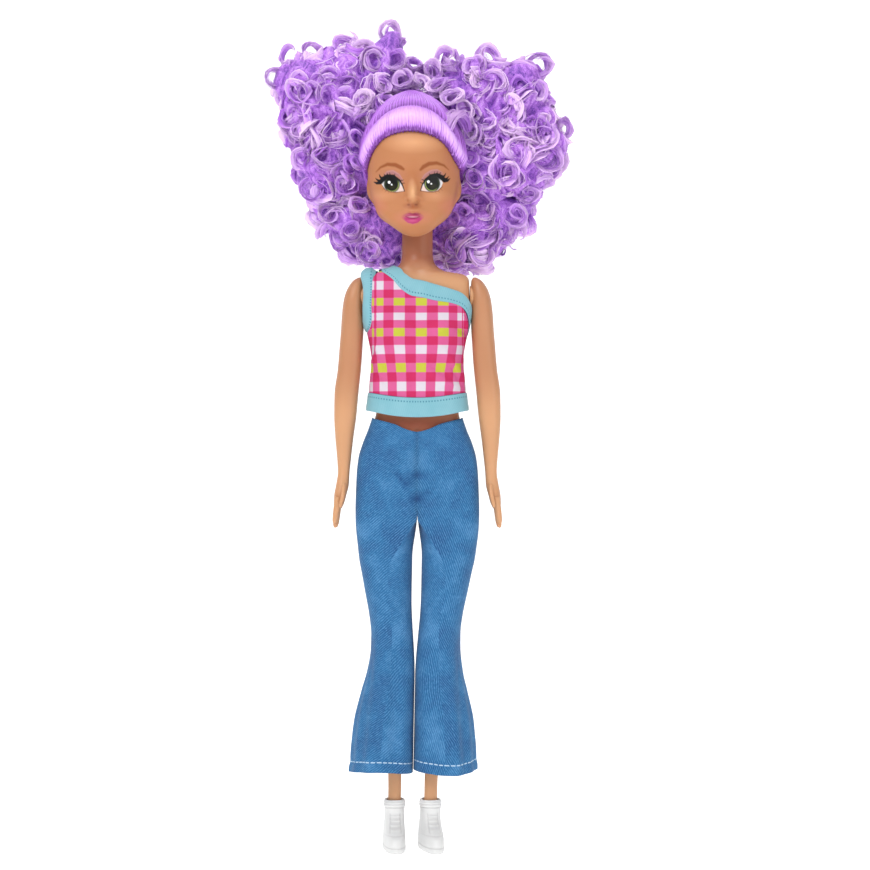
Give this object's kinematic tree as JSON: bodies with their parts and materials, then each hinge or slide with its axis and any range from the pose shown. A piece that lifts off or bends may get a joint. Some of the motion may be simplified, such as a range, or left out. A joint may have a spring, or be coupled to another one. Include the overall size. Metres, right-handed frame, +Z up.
{
  "type": "fashion doll",
  "caption": "Standing fashion doll with turning head, swinging arms and legs, big curled hair, one-shoulder checked top, flared jeans and slip-on shoes.",
  "frame": {"origin": "on the ground under the middle of the whole doll's box", "axes": "+Z up from the soles to the crown, -Y the way the doll faces, +X the doll's own left"},
  "size_m": [0.1157, 0.051, 0.3172],
  "materials": {
    "skin": "satin moulded plastic",
    "face_skin": "soft vinyl, satin",
    "hair": "glossy curled fibre",
    "combed_hair": "glossy combed fibre",
    "gingham": "checked cotton",
    "aqua_binding": "folded binding tape",
    "denim": "washed twill",
    "white_shoe": "soft moulded vinyl",
    "nylon": "plain moulded"
  },
  "bodies": {
    "trunk": {"torso_front": "skin", "torso_back": "skin", "neck_post": "nylon", "hip_rod": "nylon", "top_body": "gingham", "hem_binding": "aqua_binding", "neckline_binding": "aqua_binding", "armhole_binding": "aqua_binding", "top_loop_strip": "nylon", "top_hook_strip": "nylon", "jeans_seat": "denim", "jeans_loop_strip": "nylon", "jeans_hook_strip": "nylon"},
    "head": {"head": "face_skin", "hair_cap": "combed_hair", "hair_bunch_left": "hair", "hair_bunch_right": "hair", "hair_back": "hair", "hair_tuft": "combed_hair"},
    "arm_left": {"arm_left": "skin"},
    "arm_right": {"arm_right": "skin"},
    "leg_left": {"leg_left": "skin", "jeans_leg_left": "denim"},
    "leg_right": {"leg_right": "skin", "jeans_leg_right": "denim"},
    "shoe_left": {"shoe_left": "white_shoe"},
    "shoe_right": {"shoe_right": "white_shoe"}
  },
  "joints": [
    {"name": "head_turn", "type": "hinge", "parent": "trunk", "child": "head", "pos_m": [0, -0.0055, 0.24], "axis": [0, 0, 1], "continuous": true},
    {"name": "shoulder_left", "type": "hinge", "parent": "trunk", "child": "arm_left", "pos_m": [0.0205, -0.0055, 0.212], "axis": [-1, 0, 0], "continuous": true, "deforming": ["hair_bunch_left", "hair_bunch_right", "hair_back"]},
    {"name": "shoulder_right", "type": "hinge", "parent": "trunk", "child": "arm_right", "pos_m": [-0.0205, -0.0055, 0.212], "axis": [-1, 0, 0], "continuous": true, "deforming": ["hair_bunch_left", "hair_bunch_right", "hair_back"]},
    {"name": "hip_left", "type": "hinge", "parent": "trunk", "child": "leg_left", "pos_m": [0.0134, -0.0055, 0.138], "axis": [-1, 0, 0], "range_deg": [-30, 90], "deforming": ["jeans_seat"]},
    {"name": "hip_right", "type": "hinge", "parent": "trunk", "child": "leg_right", "pos_m": [-0.0134, -0.0055, 0.138], "axis": [-1, 0, 0], "range_deg": [-30, 90], "deforming": ["jeans_seat"]},
    {"name": "shoe_left_off", "type": "slide", "parent": "leg_left", "child": "shoe_left", "axis": [0, 0, -1], "range_m": [0, 0.022], "deforming": ["shoe_left"]},
    {"name": "shoe_right_off", "type": "slide", "parent": "leg_right", "child": "shoe_right", "axis": [0, 0, -1], "range_m": [0, 0.022], "deforming": ["shoe_right"]}
  ]
}
